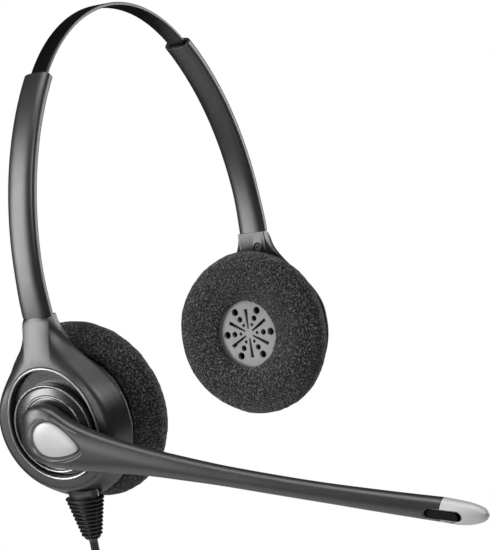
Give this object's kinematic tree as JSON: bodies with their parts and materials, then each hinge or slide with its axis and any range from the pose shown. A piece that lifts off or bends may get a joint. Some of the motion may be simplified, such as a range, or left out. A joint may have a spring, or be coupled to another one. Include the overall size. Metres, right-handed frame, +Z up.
{
  "type": "office headset",
  "caption": "Binaural office headset with telescoping arms, tilting foam ear capsules, a swinging microphone boom and a short lead with a quick-disconnect connector.",
  "frame": {"origin": "the middle of the underside of the headband, where the crown of the head touches it", "axes": "+Z up, +Y the way the wearer faces, +X to the wearer's right, where the boom is"},
  "size_m": [0.1385, 0.1542, 0.2591],
  "materials": {
    "band_plastic": "glossy black",
    "spring_steel": "bright spring steel",
    "wire_insulation": "thin flat wire insulation",
    "charcoal_plastic": "satin dark charcoal plastic",
    "black_plastic": "black plastic",
    "screw_steel": "steel",
    "bright_trim": "bright satin trim",
    "grille_plastic": "mid grey plastic",
    "diaphragm_film": "thin film",
    "foam": "open-cell foam, black",
    "silver_paint": "satin silver paint",
    "board": "circuit board",
    "cord_rubber": "moulded black rubber",
    "cord_jacket": "black cord jacket",
    "tie_wire": "black plastic-coated tie",
    "contact_metal": "gold-plated contacts"
  },
  "bodies": {
    "headband": {"band_sleeve": "band_plastic", "band_spring": "spring_steel", "band_wire": "wire_insulation", "band_stop_R": "black_plastic", "band_stop_L": "black_plastic"},
    "right_arm": {"arm_shell_R": "charcoal_plastic", "arm_cover_R": "charcoal_plastic", "arm_mouth_R": "black_plastic", "housing_shell_R": "charcoal_plastic", "neck_screw_R": "screw_steel", "housing_back_R": "charcoal_plastic", "pivot_pin_R": "screw_steel", "trim_ring_R": "bright_trim", "well_plate_R": "black_plastic", "friction_washer": "black_plastic", "junction_board": "board", "strain_relief": "cord_rubber", "cord_upper": "cord_jacket", "cord_lower": "cord_jacket", "cord_hank": "cord_jacket", "hank_tie": "tie_wire", "plug_boot": "cord_rubber", "plug_body": "black_plastic", "plug_tongue": "black_plastic", "plug_contacts": "contact_metal"},
    "left_arm": {"arm_shell_L": "charcoal_plastic", "arm_cover_L": "charcoal_plastic", "arm_mouth_L": "black_plastic", "housing_shell_L": "charcoal_plastic", "neck_screw_L": "screw_steel", "housing_back_L": "charcoal_plastic", "pivot_pin_L": "screw_steel", "trim_ring_L": "bright_trim", "well_plate_L": "black_plastic", "cap_disc_L": "charcoal_plastic"},
    "right_capsule": {"capsule_shell_R": "black_plastic", "capsule_grille_R": "grille_plastic", "driver_frame_R": "black_plastic", "driver_cone_R": "diaphragm_film", "driver_magnet_R": "screw_steel", "foam_cushion_R": "foam"},
    "left_capsule": {"capsule_shell_L": "black_plastic", "capsule_grille_L": "grille_plastic", "driver_frame_L": "black_plastic", "driver_cone_L": "diaphragm_film", "driver_magnet_L": "screw_steel", "foam_cushion_L": "foam"},
    "boom": {"boom_turret": "charcoal_plastic", "turret_clip": "spring_steel", "boom_arm": "charcoal_plastic", "boom_badge": "silver_paint", "boom_tip_cap": "silver_paint", "mic_capsule": "screw_steel", "mic_port": "black_plastic"}
  },
  "joints": [
    {"name": "right_arm_slide", "type": "hinge", "parent": "headband", "child": "right_arm", "pos_m": [-0.02394, 0, -0.07417], "axis": [0, 1, 0], "range_deg": [0, 15]},
    {"name": "left_arm_slide", "type": "hinge", "parent": "headband", "child": "left_arm", "pos_m": [0.02394, 0, -0.07417], "axis": [0, -1, 0], "range_deg": [0, 15]},
    {"name": "right_capsule_tilt", "type": "hinge", "parent": "right_arm", "child": "right_capsule", "pos_m": [0.05654, 0, -0.1121], "axis": [0, 1, 0], "range_deg": [-5, 2]},
    {"name": "left_capsule_tilt", "type": "hinge", "parent": "left_arm", "child": "left_capsule", "pos_m": [-0.05654, 0, -0.1121], "axis": [0, -1, 0], "range_deg": [-5, 2]},
    {"name": "boom_swing", "type": "hinge", "parent": "right_arm", "child": "boom", "pos_m": [0.06501, 0, -0.11276], "axis": [0.9969, 0, -0.0785], "range_deg": [-32, 230]}
  ]
}
